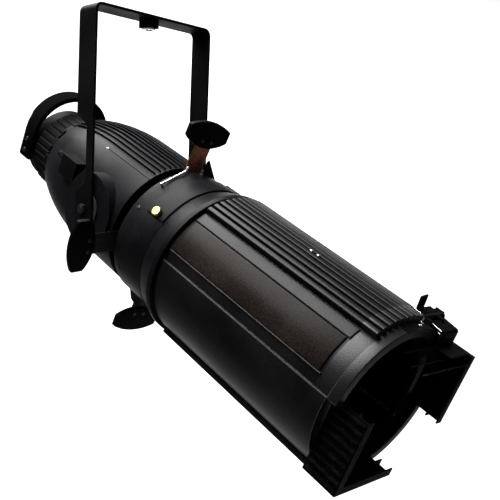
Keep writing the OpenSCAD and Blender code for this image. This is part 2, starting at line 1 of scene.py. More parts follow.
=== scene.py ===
"""Looks of a zoom profile spotlight hanging in a strap yoke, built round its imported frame.

Metres, in the frame of the CAD model: origin at the hanging bolt hole, +Z up, the beam
points to -Y and down. "Head axes" are x along the tilt axis, y up and square to the beam,
z forward along the beam, measured from the tilt axis.
"""
import json
import math
import random

import bmesh
import bpy
from mathutils import Matrix, Vector


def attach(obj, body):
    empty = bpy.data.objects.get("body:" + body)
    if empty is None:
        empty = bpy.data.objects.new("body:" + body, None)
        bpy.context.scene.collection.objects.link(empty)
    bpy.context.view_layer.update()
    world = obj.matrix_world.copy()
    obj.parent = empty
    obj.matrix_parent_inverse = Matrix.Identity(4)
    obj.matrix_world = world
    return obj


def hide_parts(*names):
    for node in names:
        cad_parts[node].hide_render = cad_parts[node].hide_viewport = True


MM = 0.001
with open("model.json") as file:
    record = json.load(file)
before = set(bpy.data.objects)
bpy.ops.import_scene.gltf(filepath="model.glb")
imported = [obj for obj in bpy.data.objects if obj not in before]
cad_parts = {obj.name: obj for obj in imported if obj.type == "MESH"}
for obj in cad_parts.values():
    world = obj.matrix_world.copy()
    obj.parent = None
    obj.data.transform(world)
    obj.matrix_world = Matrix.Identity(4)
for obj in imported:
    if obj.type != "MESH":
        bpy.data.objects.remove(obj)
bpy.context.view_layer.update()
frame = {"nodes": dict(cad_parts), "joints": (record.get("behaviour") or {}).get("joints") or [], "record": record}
random.seed(7)

# ------------------------------------------------------------------ head axes
JOINTS = {j["name"]: j for j in frame["joints"]}
PIVOT = Vector(JOINTS["head_tilt"]["pos_m"])
BEAM = Vector(JOINTS["barrel_turn"]["axis"]).normalized()
SIDE = Vector((1, 0, 0))
HEAD = Matrix((SIDE, BEAM.cross(SIDE), BEAM)).transposed().to_4x4()
HEAD.translation = PIVOT


def at(x, y, z):
    """A point given in head axes and millimetres, in the frame's own axes and metres."""
    return HEAD @ Vector((x * MM, y * MM, z * MM))


def round_at(r, deg, z):
    """A point at radius r and direction deg round the beam."""
    a = math.radians(deg)
    return at(r * math.cos(a), r * math.sin(a), z)


# stations of the barrel's parts along the beam, millimetres
GATE_BACK, GATE_FRONT = 88.05, 164.0
TUBE_BACK, TUBE_FRONT = 205.0, 553.0
COLLAR_BACK, COLLAR_FRONT = 553.05, 569.0
RIBS_BACK, STRIPS_BACK, STRIPS_FRONT = 209.0, 207.0, 528.0


# ------------------------------------------------------------------ materials
def new_material(name):
    """A node material with its Principled shader."""
    mat = bpy.data.materials.new(name)
    mat.use_nodes = True
    nodes = mat.node_tree.nodes
    shader = nodes["Principled BSDF"]
    return mat, nodes, mat.node_tree.links, shader


def noise(nodes, links, scale, detail):
    """Object-space noise, about scale features to the metre."""
    coord = nodes.new("ShaderNodeTexCoord")
    tex = nodes.new("ShaderNodeTexNoise")
    tex.inputs["Scale"].default_value = scale
    tex.inputs["Detail"].default_value = detail
    links.new(coord.outputs["Object"], tex.inputs["Vector"])
    return tex


def ramp(nodes, links, source, low, high, a=0.35, b=0.65):
    """Maps a noise output to a range between two values or colours."""
    node = nodes.new("ShaderNodeValToRGB")
    node.color_ramp.elements[0].position = a
    node.color_ramp.elements[1].position = b
    pair = [(v, v, v, 1) if isinstance(v, (int, float)) else (*v, 1) for v in (low, high)]
    node.color_ramp.elements[0].color, node.color_ramp.elements[1].color = pair
    links.new(source, node.inputs["Fac"])
    return node.outputs["Color"]


def edge_mask(nodes, links, radius=0.0012, gain=6.0):
    """About 1 on sharp edges and 0 on flats, from the difference to a rounded normal."""
    bevel = nodes.new("ShaderNodeBevel")
    bevel.samples = 4
    bevel.inputs["Radius"].default_value = radius
    geo = nodes.new("ShaderNodeNewGeometry")
    dot = nodes.new("ShaderNodeVectorMath")
    dot.operation = "DOT_PRODUCT"
    links.new(bevel.outputs["Normal"], dot.inputs[0])
    links.new(geo.outputs["Normal"], dot.inputs[1])
    flip = nodes.new("ShaderNodeMath")
    flip.operation = "SUBTRACT"
    flip.inputs[0].default_value = 1.0
    links.new(dot.outputs["Value"], flip.inputs[1])
    scale = nodes.new("ShaderNodeMath")
    scale.operation = "MULTIPLY"
    scale.use_clamp = True
    scale.inputs[1].default_value = gain
    links.new(flip.outputs["Value"], scale.inputs[0])
    return scale.outputs["Value"]


def mix(nodes, links, fac, a, b, blend="MIX"):
    """Mixes two colours; each of fac, a and b is a value or a socket."""
    node = nodes.new("ShaderNodeMix")
    node.data_type = "RGBA"
    node.blend_type = blend
    for source, socket in ((fac, 0), (a, 6), (b, 7)):
        if isinstance(source, (int, float)):
            node.inputs[socket].default_value = source
        elif isinstance(source, tuple):
            node.inputs[socket].default_value = (*source, 1)
        else:
            links.new(source, node.inputs[socket])
    return node.outputs[2]


def bump(nodes, links, shader, height, strength, distance):
    """Relief from a height socket, distance in metres."""
    node = nodes.new("ShaderNodeBump")
    node.inputs["Strength"].default_value = strength
    node.inputs["Distance"].default_value = distance
    links.new(height, node.inputs["Height"])
    links.new(node.outputs["Normal"], shader.inputs["Normal"])


def finish(name, colour, edge_colour, rough, spec=0.3, metal=0.0, grain=900, grain_bump=0.2, edge_amount=0.5,
           edge_from=0.45):
    """A painted, moulded or bare surface: uneven tone, fine grain, and rubbed edges, which set bright and wide are
    partly a painted highlight.
    """
    mat, nodes, links, shader = new_material(name)
    clouds = noise(nodes, links, 14, 5)
    fine = noise(nodes, links, grain, 2)
    darker = tuple(c * 0.72 for c in colour)
    lighter = tuple(c * 1.3 for c in colour)
    clouded = ramp(nodes, links, clouds.outputs["Fac"], darker, lighter)
    speckle = ramp(nodes, links, fine.outputs["Fac"], 0.55, 1.6)
    base = mix(nodes, links, 1.0, clouded, speckle, "MULTIPLY")
    scuffs = noise(nodes, links, 130, 6)
    edge = edge_mask(nodes, links)
    patchy = nodes.new("ShaderNodeMath")
    patchy.operation = "MULTIPLY"
    links.new(edge, patchy.inputs[0])
    links.new(ramp(nodes, links, scuffs.outputs["Fac"], 0.0, edge_amount, edge_from, edge_from + 0.25),
              patchy.inputs[1])
    # edge colour: rubbed edges, and where it is set bright and wide also a painted highlight
    links.new(mix(nodes, links, patchy.outputs["Value"], base, edge_colour), shader.inputs["Base Color"])
    links.new(ramp(nodes, links, clouds.outputs["Fac"], rough * 0.86, rough * 1.16),
              shader.inputs["Roughness"])
    shader.inputs["Metallic"].default_value = metal
    shader.inputs["Specular IOR Level"].default_value = spec
    bump(nodes, links, shader, fine.outputs["Fac"], grain_bump, 0.0004)
    return mat


def glass(name, tint, rough):
    """Clear glass with a little dust."""
    mat, nodes, links, shader = new_material(name)
    dust = noise(nodes, links, 60, 5)
    links.new(ramp(nodes, links, dust.outputs["Fac"], tint, tuple(c * 0.93 for c in tint)),
              shader.inputs["Base Color"])
    links.new(ramp(nodes, links, dust.outputs["Fac"], rough, rough * 3),
              shader.inputs["Roughness"])
    shader.inputs["Transmission Weight"].default_value = 1.0
    shader.inputs["IOR"].default_value = 1.5
    return mat


LOOKS = {
    "yoke_black": finish("yoke_paint", (0.0014, 0.0014, 0.0016), (0.05, 0.05, 0.052), 0.50, 0.018,
                         grain=700, grain_bump=0.4),
    "cast_black": finish("cast_paint", (0.0021, 0.0021, 0.0026), (0.05, 0.05, 0.052), 0.42, 0.036,
                         grain=520, grain_bump=0.7),
    # the tube and the strip: bright, wide edge colour, partly rubbed paint and partly a painted highlight along
    # the edges
    "tube_black": finish("tube_paint", (0.0024, 0.0023, 0.0023), (0.12, 0.12, 0.12), 0.35, 0.068,
                         grain=600, grain_bump=0.5, edge_amount=0.9, edge_from=0.3),
    "panel_brown": finish("brown_strip", (0.0056, 0.0040, 0.0032), (0.13, 0.11, 0.10), 0.36, 0.031,
                          grain=420, grain_bump=0.3, edge_amount=0.9, edge_from=0.3),
    "knob_black": finish("knob_moulding", (0.0013, 0.0013, 0.0014), (0.04, 0.04, 0.04), 0.55,
                         0.018, grain=1200, grain_bump=0.3),
    "grip_black": finish("grip_moulding", (0.0010, 0.0009, 0.0009), (0.02, 0.019, 0.018), 0.46,
                         0.02, grain=800, grain_bump=0.35),
    # shaded copy of the grip moulding: almost no sheen and high roughness keep the arch dark, a painted shade
    "arch_black": finish("grip_moulding_shaded", (0.0012, 0.0011, 0.0011), (0.02, 0.019, 0.018), 0.8,
                         0.002, grain=800, grain_bump=0.35),
    "dark_steel": finish("blackened_steel", (0.012, 0.012, 0.0125), (0.12, 0.12, 0.12), 0.45, 0.2,
                         0.6, grain=900, grain_bump=0.15),
    "steel": finish("zinc_steel", (0.55, 0.55, 0.56), (0.8, 0.8, 0.8), 0.28, 0.5, 1.0,
                    grain=900, grain_bump=0.15),
    "aluminium": finish("plain_aluminium", (0.58, 0.58, 0.59), (0.8, 0.8, 0.8), 0.36, 0.5, 1.0,
                        grain=700, grain_bump=0.2),
    "mirror": finish("polished_reflector", (0.82, 0.82, 0.83), (0.9, 0.9, 0.9), 0.08, 0.5, 1.0,
                     grain=300, grain_bump=0.03),
    "brass": finish("turned_brass", (0.34, 0.235, 0.08), (0.7, 0.58, 0.33), 0.38, 0.5, 1.0,
                    grain=800, grain_bump=0.2),
    "blade_steel": finish("tinted_steel", (0.22, 0.085, 0.047), (0.40, 0.26, 0.20), 0.45, 0.3,
                          0.75, grain=350, grain_bump=0.1),
    # dark copy of the tinted steel for the blades that show no copper: painted shade
    "blade_steel_shaded": finish("tinted_steel_shaded", (0.008, 0.007, 0.0065), (0.2, 0.16, 0.13), 0.5, 0.15,
                           0.2, grain=350, grain_bump=0.1),
    "fibre": finish("fibre_disc", (0.006, 0.005, 0.0045), (0.04, 0.03, 0.025), 0.8, 0.2,
                    grain=500, grain_bump=0.6),
    "ceramic": finish("white_ceramic", (0.75, 0.72, 0.66), (0.8, 0.78, 0.72), 0.35, 0.5,
                      grain=300, grain_bump=0.1),
    "lens_glass": glass("optical_glass", (0.86, 0.93, 0.94), 0.02),
    "bulb_glass": glass("quartz", (0.95, 0.95, 0.96), 0.05),
}


def painted_top_highlight(mat, station, reach, colour, spec):
    """Painted highlight: a lighter tone and more sheen ahead of a station, fading in over a reach above the beam's
    axis, where the top is lit.
    """
    nodes, links = mat.node_tree.nodes, mat.node_tree.links
    shader = nodes["Principled BSDF"]
    coord = nodes.new("ShaderNodeTexCoord")

    def along(axis, low, high):
        dot = nodes.new("ShaderNodeVectorMath")
        dot.operation = "DOT_PRODUCT"
        dot.inputs[1].default_value = axis
        links.new(coord.outputs["Object"], dot.inputs[0])
        span = nodes.new("ShaderNodeMapRange")
        span.inputs["From Min"].default_value = PIVOT.dot(axis) + low * MM
        span.inputs["From Max"].default_value = PIVOT.dot(axis) + high * MM
        links.new(dot.outputs["Value"], span.inputs["Value"])
        return span.outputs["Result"]

    mask = nodes.new("ShaderNodeMath")
    mask.operation = "MULTIPLY"
    links.new(along(BEAM, station, station + 0.5), mask.inputs[0])
    links.new(along(BEAM.cross(SIDE), 0, reach), mask.inputs[1])
    before = shader.inputs["Base Color"].links[0].from_socket
    links.new(mix(nodes, links, mask.outputs["Value"], before, colour), shader.inputs["Base Color"])
    level = nodes.new("ShaderNodeMapRange")
    level.inputs["To Min"].default_value = shader.inputs["Specular IOR Level"].default_value
    level.inputs["To Max"].default_value = spec
    links.new(mask.outputs["Value"], level.inputs["Value"])
    links.new(level.outputs["Result"], shader.inputs["Specular IOR Level"])


# painted highlight on the upper side of the tube's front end and the collar
painted_top_highlight(LOOKS["tube_black"], STRIPS_FRONT, 80, (0.0062, 0.0054, 0.0056), 0.17)
SLOT_OF = {s["node"]: s["material_slot"] for s in frame["record"]["subparts"]}


# ------------------------------------------------------------------ CAD nodes
WELD_DISTANCE, SHARP_ANGLE = 0.00001, 32
USUAL_EDGE = 0.0008


def dress(obj, look, edge):
    """Material, smooth shading and a fine rounded edge on a CAD node's mesh."""
    obj.data.materials.clear()
    obj.data.materials.append(LOOKS[look])
    for poly in obj.data.polygons:
        poly.material_index = 0
        poly.use_smooth = True
    weld = obj.modifiers.new("weld", "WELD")
    weld.merge_threshold = WELD_DISTANCE
    if edge:
        bevel = obj.modifiers.new("bevel", "BEVEL")
        bevel.width = edge
        bevel.segments = 2
        bevel.limit_method = "ANGLE"
        bevel.angle_limit = math.radians(SHARP_ANGLE)
        bevel.use_clamp_overlap = True
    normals = obj.modifiers.new("normals", "WEIGHTED_NORMAL")
    normals.keep_sharp = False


# edges in metres where the usual one is too wide
FINE_EDGES = {"lamphouse": 0.0004, "knurled_ring": 0.0005, "cover_screw": 0.0002,
              "gate_screws": 0.0003, "tube_screws": 0.0003, "saddle_screws": 0.0003,
              "lamphouse_screws": 0.0003, "gate_clip": 0, "zoom_lens": 0, "focus_lens": 0,
              "lamp_bulb": 0, "shutter_guides": 0.0002, "hanging_washer": 0.0004}
# looks of nodes that do not take the one of their material slot
OTHER_LOOKS = {
    "pivot_bolts": "dark_steel",
    **dict.fromkeys(("latch_plate", "holder_upper", "holder_lower", "terminal_box", "vent_ring",
                     "rear_tube", "rear_cap"), "yoke_black"),
    # the left, bottom and right blades take the tinted steel's dark copy: painted shade
    **dict.fromkeys(("shutter_blade_left", "shutter_blade_bottom", "shutter_blade_right"),
                    "blade_steel_shaded")}
for node, obj in frame["nodes"].items():
    dress(obj, OTHER_LOOKS.get(node, SLOT_OF[node]), FINE_EDGES.get(node, USUAL_EDGE))


# ------------------------------------------------------------------ building blocks
def piece(name, verts, faces, body, look, replaces=(), sharp=38, slot=None):
    """A mesh of the object: rides a body, stands for CAD nodes, takes a finish."""
    mesh = bpy.data.meshes.new(name)
    bm = bmesh.new()
    points = [bm.verts.new(v) for v in verts]
    for face in faces:
        if len(set(face)) > 2:
            bm.faces.new([points[i] for i in face])
    bmesh.ops.remove_doubles(bm, verts=bm.verts, dist=1e-7)
    bmesh.ops.recalc_face_normals(bm, faces=bm.faces)
    loose = [v for v in bm.verts if not v.link_faces]
    bmesh.ops.delete(bm, geom=loose, context="VERTS")
    bm.to_mesh(mesh)
    bm.free()
    mesh.shade_smooth()
    mesh.set_sharp_from_angle(angle=math.radians(sharp))
    mesh.materials.append(LOOKS[look])
    obj = bpy.data.objects.new(name, mesh)
    bpy.context.scene.collection.objects.link(obj)
    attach(obj, body)
    if replaces:
        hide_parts(*replaces)
    slot or look
    return obj


def drop(t, r):
    """How far a rounded edge of radius r has dropped at distance t from its end."""
    if t >= r:
        return 0.0
    return r - math.sqrt(r * r - (r - max(t, 0.0)) ** 2)


def stations(a, b, r, *between):
    """Stations from a to b, close together where an edge of radius r rounds off."""
    steps = [r * (1 - math.cos(math.radians(q))) for q in (0, 25, 45, 65, 90)]
    return sorted({*(a + t for t in steps), *(b - t for t in steps), *between})


def table(points, t):
    """Straight lines between the points of a table."""
    for (t0, v0), (t1, v1) in zip(points, points[1:]):
        if t <= t1:
            return v0 + (v1 - v0) * (t - t0) / (t1 - t0) if t > t0 else v0
    return points[-1][1]


def shell_mesh(zs, degs, outer, inner, hole=None):
    """Wall between two radii over stations and directions, open where hole(deg, z) says."""
    ring = abs(degs[-1] - degs[0] - 360) < 1e-6
    cols = len(degs) - 1 if ring else len(degs)
    rows = len(zs)
    verts = [round_at(radius(d, z), d, z) for radius in (outer, inner) for z in zs
             for d in degs[:cols]]

    def at_grid(side, i, j):
        return side * rows * cols + i * cols + (j % cols)

    def solid(i, j):
        if not 0 <= i < rows - 1:
            return False
        if ring:
            j %= cols
        elif not 0 <= j < cols - 1:
            return False
        mid = (degs[j] + degs[j + 1]) / 2
        return hole is None or not hole(mid, (zs[i] + zs[i + 1]) / 2)

    faces = []
    for i in range(rows - 1):
        for j in range(cols if ring else cols - 1):
            if not solid(i, j):
                continue
            for side in (0, 1):
                faces.append([at_grid(side, i, j), at_grid(side, i, j + 1),
                              at_grid(side, i + 1, j + 1), at_grid(side, i + 1, j)])
            for di, dj, p, q in ((-1, 0, (i, j), (i, j + 1)), (1, 0, (i + 1, j), (i + 1, j + 1)),
                                 (0, -1, (i, j), (i + 1, j)), (0, 1, (i, j + 1), (i + 1, j + 1))):
                if not solid(i + di, j + dj):
                    faces.append([at_grid(0, *p), at_grid(0, *q), at_grid(1, *q), at_grid(1, *p)])
    return verts, faces


def revolve_mesh(profile, count=144):
    """Closed outline of (radius, station) turned all the way round the beam."""
    verts = [round_at(r, 360 * k / count, z) for k in range(count) for r, z in profile]
    n = len(profile)
    faces = [[k * n + i, k * n + (i + 1) % n, ((k + 1) % count) * n + (i + 1) % n,
              ((k + 1) % count) * n + i] for k in range(count) for i in range(n)]
    return verts, faces


def rounded_outline(points, radii, steps=4):
    """Polygon with its corners rounded; a radius of 0 keeps a corner sharp."""
    out = []
    n = len(points)
    for i, (p, r) in enumerate(zip(points, radii)):
        p = Vector(p)
        if not r:
            out.append(tuple(p))
            continue
        a = Vector(points[i - 1]) - p
        b = Vector(points[(i + 1) % n]) - p
        a, b = a.normalized(), b.normalized()
        half = a.angle(b) / 2
        start, end = p + a * (r / math.tan(half)), p + b * (r / math.tan(half))
        middle = p + (a + b).normalized() * (r / math.sin(half))
        for k in range(steps + 1):
            t = k / steps
            v = (start.lerp(end, t) - middle).normalized() * r
            out.append(tuple(middle + v))
    return out


def slab_mesh(outline, low, high, edge, place):
    """Outline pulled from low to high with rounded rims; place(u, v, w) sets a point."""
    n = len(outline)
    centre = Vector((sum(p[0] for p in outline) / n, sum(p[1] for p in outline) / n))
    normals = []
    for i in range(n):
        t = Vector(outline[(i + 1) % n]) - Vector(outline[i - 1])
        v = Vector((t.y, -t.x)).normalized()
        if v.dot(Vector(outline[i]) - centre) < 0:
            v = -v
        normals.append(v)
    layers = []
    for q in (0, 22, 45, 68, 90):
        a = math.radians(q)
        layers.append((edge * (1 - math.sin(a)), low + edge * (1 - math.cos(a))))
    layers += [(inset, low + high - w) for inset, w in reversed(layers)]
    verts = [place(*(Vector(outline[i]) - normals[i] * inset), w)
             for inset, w in layers for i in range(n)]
    faces = [[k * n + i, k * n + (i + 1) % n, (k + 1) * n + (i + 1) % n, (k + 1) * n + i]
             for k in range(len(layers) - 1) for i in range(n)]
    faces += [list(range(n)), list(range((len(layers) - 1) * n, len(layers) * n))]
    return verts, faces


def merged(*meshes):
    """Several (verts, faces) as one."""
    verts, faces = [], []
    for v, f in meshes:
        faces += [[i + len(verts) for i in face] for face in f]
        verts += v
    return verts, faces


def frame_at(place, normal):
    """Matrix that sets +z along normal at a place, both in the frame's own axes."""
    z = Vector(normal).normalized()
    x = BEAM.cross(z) if abs(BEAM.dot(z)) < 0.9 else SIDE.cross(z)
    x.normalize()
    m = Matrix((x, z.cross(x), z)).transposed().to_4x4()
    m.translation = Vector(place)
    return m


def screw_mesh(m, r, h, turn=None):
    """Domed head, millimetres: a cross recess turned by turn, or a plain rivet without it."""
    rings = [0, 0.12, 0.24, 0.36, 0.48, 0.6, 0.72, 0.84, 0.92, 0.97, 1.0]
    count = 40
    reach, width = 0.58 * r, 0.14 * r
    verts, faces = [], []
    for q in rings:
        for k in range(count):
            a = 2 * math.pi * k / count
            x, y = q * r * math.cos(a), q * r * math.sin(a)
            z = h * (0.45 + 0.55 * math.sqrt(max(0.0, 1 - q * q)))
            if turn is not None:
                u = abs(x * math.cos(turn) + y * math.sin(turn))
                v = abs(y * math.cos(turn) - x * math.sin(turn))
                if (u < reach and v < width) or (v < reach and u < width):
                    z = h * 0.42
            verts.append(m @ Vector((x * MM, y * MM, z * MM)))
    for k in range(count):
        a = 2 * math.pi * k / count
        verts.append(m @ Vector((r * math.cos(a) * MM, r * math.sin(a) * MM, 0)))
    for i in range(len(rings)):
        for k in range(count):
            faces.append([i * count + k, i * count + (k + 1) % count,
                          (i + 1) * count + (k + 1) % count, (i + 1) * count + k])
    faces.append([len(rings) * count + k for k in range(count)])
    return verts, faces


def out_at(r, deg, z):
    """Frame on the round body at radius r, looking straight out."""
    place = round_at(r, deg, z)
    return frame_at(place, place - at(0, 0, z))


# ------------------------------------------------------------------ lens tube
TUBE_R, TUBE_IN_R, RAISED_R, PANEL_IN_R = 118.0, 114.0, 121.0, 118.05
RAISED_EDGE, BEAD_EDGE, PANEL_EDGE, TUBE_EDGE = 1.9, 0.9, 1.5, 0.3
RIB_PITCH, RIBS_A_SIDE = 5.2, 6
RIB_DIRS = [90 + (i - RIBS_A_SIDE) * RIB_PITCH for i in range(2 * RIBS_A_SIDE + 1)]
# height of a rib over its distance from the rib's middle, degrees and millimetres
RIB_FORM = [(0, 12), (1.15, 12), (1.45, 11.75), (1.62, 11.3), (1.74, 10.5), (1.8, 9.2), (1.93, 0)]
RIB_HALF, RIB_FOOT = 1.94, 2.4
# ribs on the latch's side stop short of the collar
LATCH_DEG, SHORT_RIB_FRONT = 76, 522
# raised bands: first and last direction, front end
RAISED = [(124, 133.5, STRIPS_FRONT), (46.5, 56, STRIPS_FRONT), (169.5, 236, TUBE_FRONT),
          (304, 370.5, TUBE_FRONT)]
SLOT_DEG, SLOT_HALF, SLOT_BACK, SLOT_FRONT = 15.0, 1.95, 222, 490
BEAD_FROM, BEAD_TO, BEAD_R = 160.5, 161.6, 120.7
PANEL_FRONT = 524
# gap between two columns that make a step, and the direction where the columns begin
NICK, SEAM_DEG = 0.02, -20


def arc(degrees):
    """Length of an arc on the tube, millimetres."""
    return degrees * math.radians(TUBE_R)


def rib_rise(deg, z, centre, front):
    """Height of one rib above the tube, or None away from it."""
    off = abs(deg - centre)
    short = front < TUBE_FRONT
    if off >= RIB_HALF or (short and z >= front):
        return None
    rise = table([(RIBS_BACK, 0), (209.4, 0.7), (210.2, 0.93), (211.5, 1)], z)
    fall = table([(front - 2.5, 1), (front - 1, 0.94), (front - 0.3, 0.7), (front, 0)], z)
    return table(RIB_FORM, off) * rise * (fall if short else 1)


def tube_outer(deg, z):
    """The tube's outer radius with its raised bands, bead and ribs."""
    rounding = drop(TUBE_FRONT - z, TUBE_EDGE)
    r = TUBE_R - rounding
    for a, b, front in RAISED:
        for d in (deg, deg + 360):
            if a <= d <= b and STRIPS_BACK <= z <= front:
                edge = min(arc(min(d - a, b - d)), z - STRIPS_BACK, front - z)
                r = max(r, RAISED_R - drop(edge, RAISED_EDGE))
    if BEAD_FROM <= deg <= BEAD_TO and STRIPS_BACK <= z <= STRIPS_FRONT:
        r = max(r, BEAD_R - drop(arc(min(deg - BEAD_FROM, BEAD_TO - deg)), BEAD_EDGE))
    for centre in RIB_DIRS:
        front = SHORT_RIB_FRONT if centre < LATCH_DEG else TUBE_FRONT
        for c, end in ((centre, front), (centre + 180, TUBE_FRONT)):
            h = rib_rise(deg, z, c, end)
            if h is not None:
                r = max(r, TUBE_R + h - (rounding if end == TUBE_FRONT else 0))
    return r


def tube_degs():
    """Directions of the tube's columns: a plain grid, closer together at every edge."""
    degs = {round(SEAM_DEG + 2.5 * k, 3) for k in range(145)}
    for c in RIB_DIRS:
        for turn in (0, 180):
            degs -= {d for d in degs if abs(d - c - turn) < RIB_PITCH / 2}
            for off, _ in RIB_FORM + [(RIB_FOOT, 0)]:
                degs |= {round(c + turn + off, 3), round(c + turn - off, 3)}
    for a, b, _ in RAISED:
        last = b if a < 300 else b - 360
        degs |= {v for off in (0, 0.1, 0.3, 0.6, 0.93) for v in (a + off, last - off)}
        degs |= {a - NICK, last + NICK}
    degs |= {BEAD_FROM - NICK, BEAD_TO + NICK}
    degs |= {v for off in (0, 0.06, 0.14, 0.28, 0.44) for v in (BEAD_FROM + off, BEAD_TO - off)}
    degs |= {SLOT_DEG - SLOT_HALF, SLOT_DEG + SLOT_HALF}
    return sorted(d for d in degs if SEAM_DEG <= d < SEAM_DEG + 360) + [SEAM_DEG + 360.0]


def in_slot(deg, z):
    """Slot of the two lens lock knobs."""
    return abs(deg - SLOT_DEG) < SLOT_HALF and SLOT_BACK < z < SLOT_FRONT


tube_zs = sorted({TUBE_BACK, STRIPS_BACK, 207.4, 208.2, RIBS_BACK, 209.4, 210.2, 211.5, 214,
                  SLOT_BACK, *range(240, 520, 20), SLOT_FRONT, 519.5, 521, 521.7,
                  SHORT_RIB_FRONT, 526.8, 527.6, STRIPS_FRONT, 528.05, 530,
                  *(TUBE_FRONT - TUBE_EDGE + t for t in (0, 0.1, 0.2, 0.3))})
piece("tube_shell", *shell_mesh(tube_zs, tube_degs(), tube_outer, lambda d, z: TUBE_IN_R, in_slot),
      "barrel", "tube_black", ["lens_tube"], sharp=30)


def panel(a, b):
    """Brown strip let into the tube's side, between two directions."""
    def outer(d, z):
        edge = min(arc(d - a), arc(b - d), z - STRIPS_BACK, PANEL_FRONT - z)
        return RAISED_R - drop(edge, PANEL_EDGE)
    degs = sorted({v for off in (0, 0.1, 0.35, 0.73) for v in (a + off, b - off)}
                  | {a + (b - a) * k / 14 for k in range(1, 14)})
    zs = stations(STRIPS_BACK, PANEL_FRONT, PANEL_EDGE, 290, 370, 450)
    return shell_mesh(zs, degs, outer, lambda d, z: PANEL_IN_R)


piece("side_strips", *merged(panel(133.8, 160.0), panel(20.0, 46.2)), "barrel", "panel_brown",
      ["side_panels"])


# ------------------------------------------------------------------ gate
GATE_R, GATE_IN_R, GATE_EDGE = 116.0, 112.0, 2.0
THUMB_DEG, THUMB_Z = 146, 142
COVER_R, COVER_IN_R, COVER_EDGE = 118.4, 116.2, 1.0
COVER_BACK, COVER_FRONT, COVER_END, COVER_ARC_R = 121, 162, 150, 118
HINGE_R, HINGE_DEG, HINGE_AT = 2.3, 64.5, 118.6


def gate_hole(d, z):
    """Gobo slot, and the pocket under the thumbscrew."""
    slot = 72 < d < 136 and 126 < z < 156
    pocket = abs(d - THUMB_DEG) < 3.2 and abs(z - THUMB_Z) < 6.5
    return slot or pocket


def gate_wall(d, z):
    """The housing's outer radius, rounded at both ends."""
    return GATE_R - drop(min(z - GATE_BACK, GATE_FRONT - z), GATE_EDGE)


gate_degs = sorted({*(3 * k for k in range(120)), 72, 136, 142.8, 149.2, 360.0})
gate_zs = stations(GATE_BACK, GATE_FRONT, GATE_EDGE, 100, 113, 126, 135.5, 148.5, 156)
piece("gate_shell", *merged(
    shell_mesh(gate_zs, gate_degs, gate_wall, lambda d, z: GATE_IN_R, gate_hole),
    revolve_mesh([(70, GATE_BACK), (112.5, GATE_BACK), (112.5, 92), (70, 92)]),
    revolve_mesh([(96, 160), (112.5, 160), (112.5, 163.9), (96, 163.9)])),
    "barrel", "cast_black", ["gate_housing"])


def cover_outer(d, z):
    """The cover's outer radius, rounded at its free edges."""
    edge = min((COVER_END - d) * math.radians(COVER_ARC_R), z - COVER_BACK, COVER_FRONT - z)
    return COVER_R - drop(edge, COVER_EDGE)


def knuckle(z0, z1, sides=20, edge=0.5):
    """One barrel of the cover's hinge."""
    a = math.radians(HINGE_DEG)
    turns = [2 * math.pi * k / sides for k in range(sides)]
    zs = stations(z0, z1, edge)
    verts = []
    for z in zs:
        r = HINGE_R - drop(min(z - z0, z1 - z), edge)
        verts += [at(HINGE_AT * math.cos(a) + r * math.cos(t),
                     HINGE_AT * math.sin(a) + r * math.sin(t), z) for t in turns]
    faces = [[i * sides + k, i * sides + (k + 1) % sides,
              (i + 1) * sides + (k + 1) % sides, (i + 1) * sides + k]
             for i in range(len(zs) - 1) for k in range(sides)]
    faces += [list(range(sides)), [len(verts) - sides + k for k in range(sides)]]
    return verts, faces


cover_degs = sorted({HINGE_DEG, COVER_END, 149.95, 149.8, 149.5,
                     *(67 + 3.1 * k for k in range(27))})
piece("gobo_cover_lid", *merged(
    shell_mesh(stations(COVER_BACK, COVER_FRONT, COVER_EDGE, 141), cover_degs, cover_outer,
               lambda d, z: COVER_IN_R),
    knuckle(120, 130.6), knuckle(131, 152), knuckle(152.4, 163)),
    "gobo_cover", "cast_black", ["slot_cover"])

flange_line = rounded_outline(
    [(108, 164.05), (116.5, 164.05), (126.8, 196), (126.8, 204.95), (114, 204.95), (114, 196),
     (108, 180)], [0.5, 1.0, 3.0, 1.6, 0.8, 0, 0])
piece("flange_ring", *revolve_mesh(flange_line, 180), "barrel", "cast_black", ["gate_flange"])


# ------------------------------------------------------------------ front collar
COLLAR_R, COLLAR_IN_R, COLLAR_EDGE = 119.0, 106.0, 1.6
# the flats lie further in than the ring's inside, so the ring is open there
FLAT_X, OPEN_IN_R = 97.95, 97.0
# directions between which the left and the right flat run
FLAT_LEFT, FLAT_RIGHT = (170.3, 214.6), (350.3, 34.6)


def collar_cut(d):
    """Radius of the flats beside the holder's side walls, or None away from them."""
    d %= 360
    left = FLAT_LEFT[0] < d < FLAT_LEFT[1]
    if left or d > FLAT_RIGHT[0] or d <= FLAT_RIGHT[1]:
        return FLAT_X / abs(math.cos(math.radians(d)))
    return None


def collar_outer(d, z):
    """The collar's outer radius, cut by the flats."""
    r = COLLAR_R - drop(z - COLLAR_BACK, TUBE_EDGE) - drop(COLLAR_FRONT - z, COLLAR_EDGE)
    cut = collar_cut(d)
    return min(r, cut) if cut else r


def collar_hole(d, z):
    """True where a flat cuts through the ring."""
    cut = collar_cut(d)
    return cut is not None and cut < COLLAR_IN_R


collar_degs = sorted({*(2.5 * k for k in range(144)), 360.0,
                      FLAT_LEFT[0] - NICK, *FLAT_LEFT, FLAT_LEFT[1] + NICK,
                      FLAT_RIGHT[0] - NICK, *FLAT_RIGHT, FLAT_RIGHT[1] + NICK})
piece("collar_ring", *shell_mesh(stations(COLLAR_BACK, COLLAR_FRONT, COLLAR_EDGE), collar_degs,
                                 collar_outer,
                                 lambda d, z: OPEN_IN_R if collar_hole(d, z) else COLLAR_IN_R,
                                 collar_hole),
      "barrel", "tube_black", ["front_collar"])


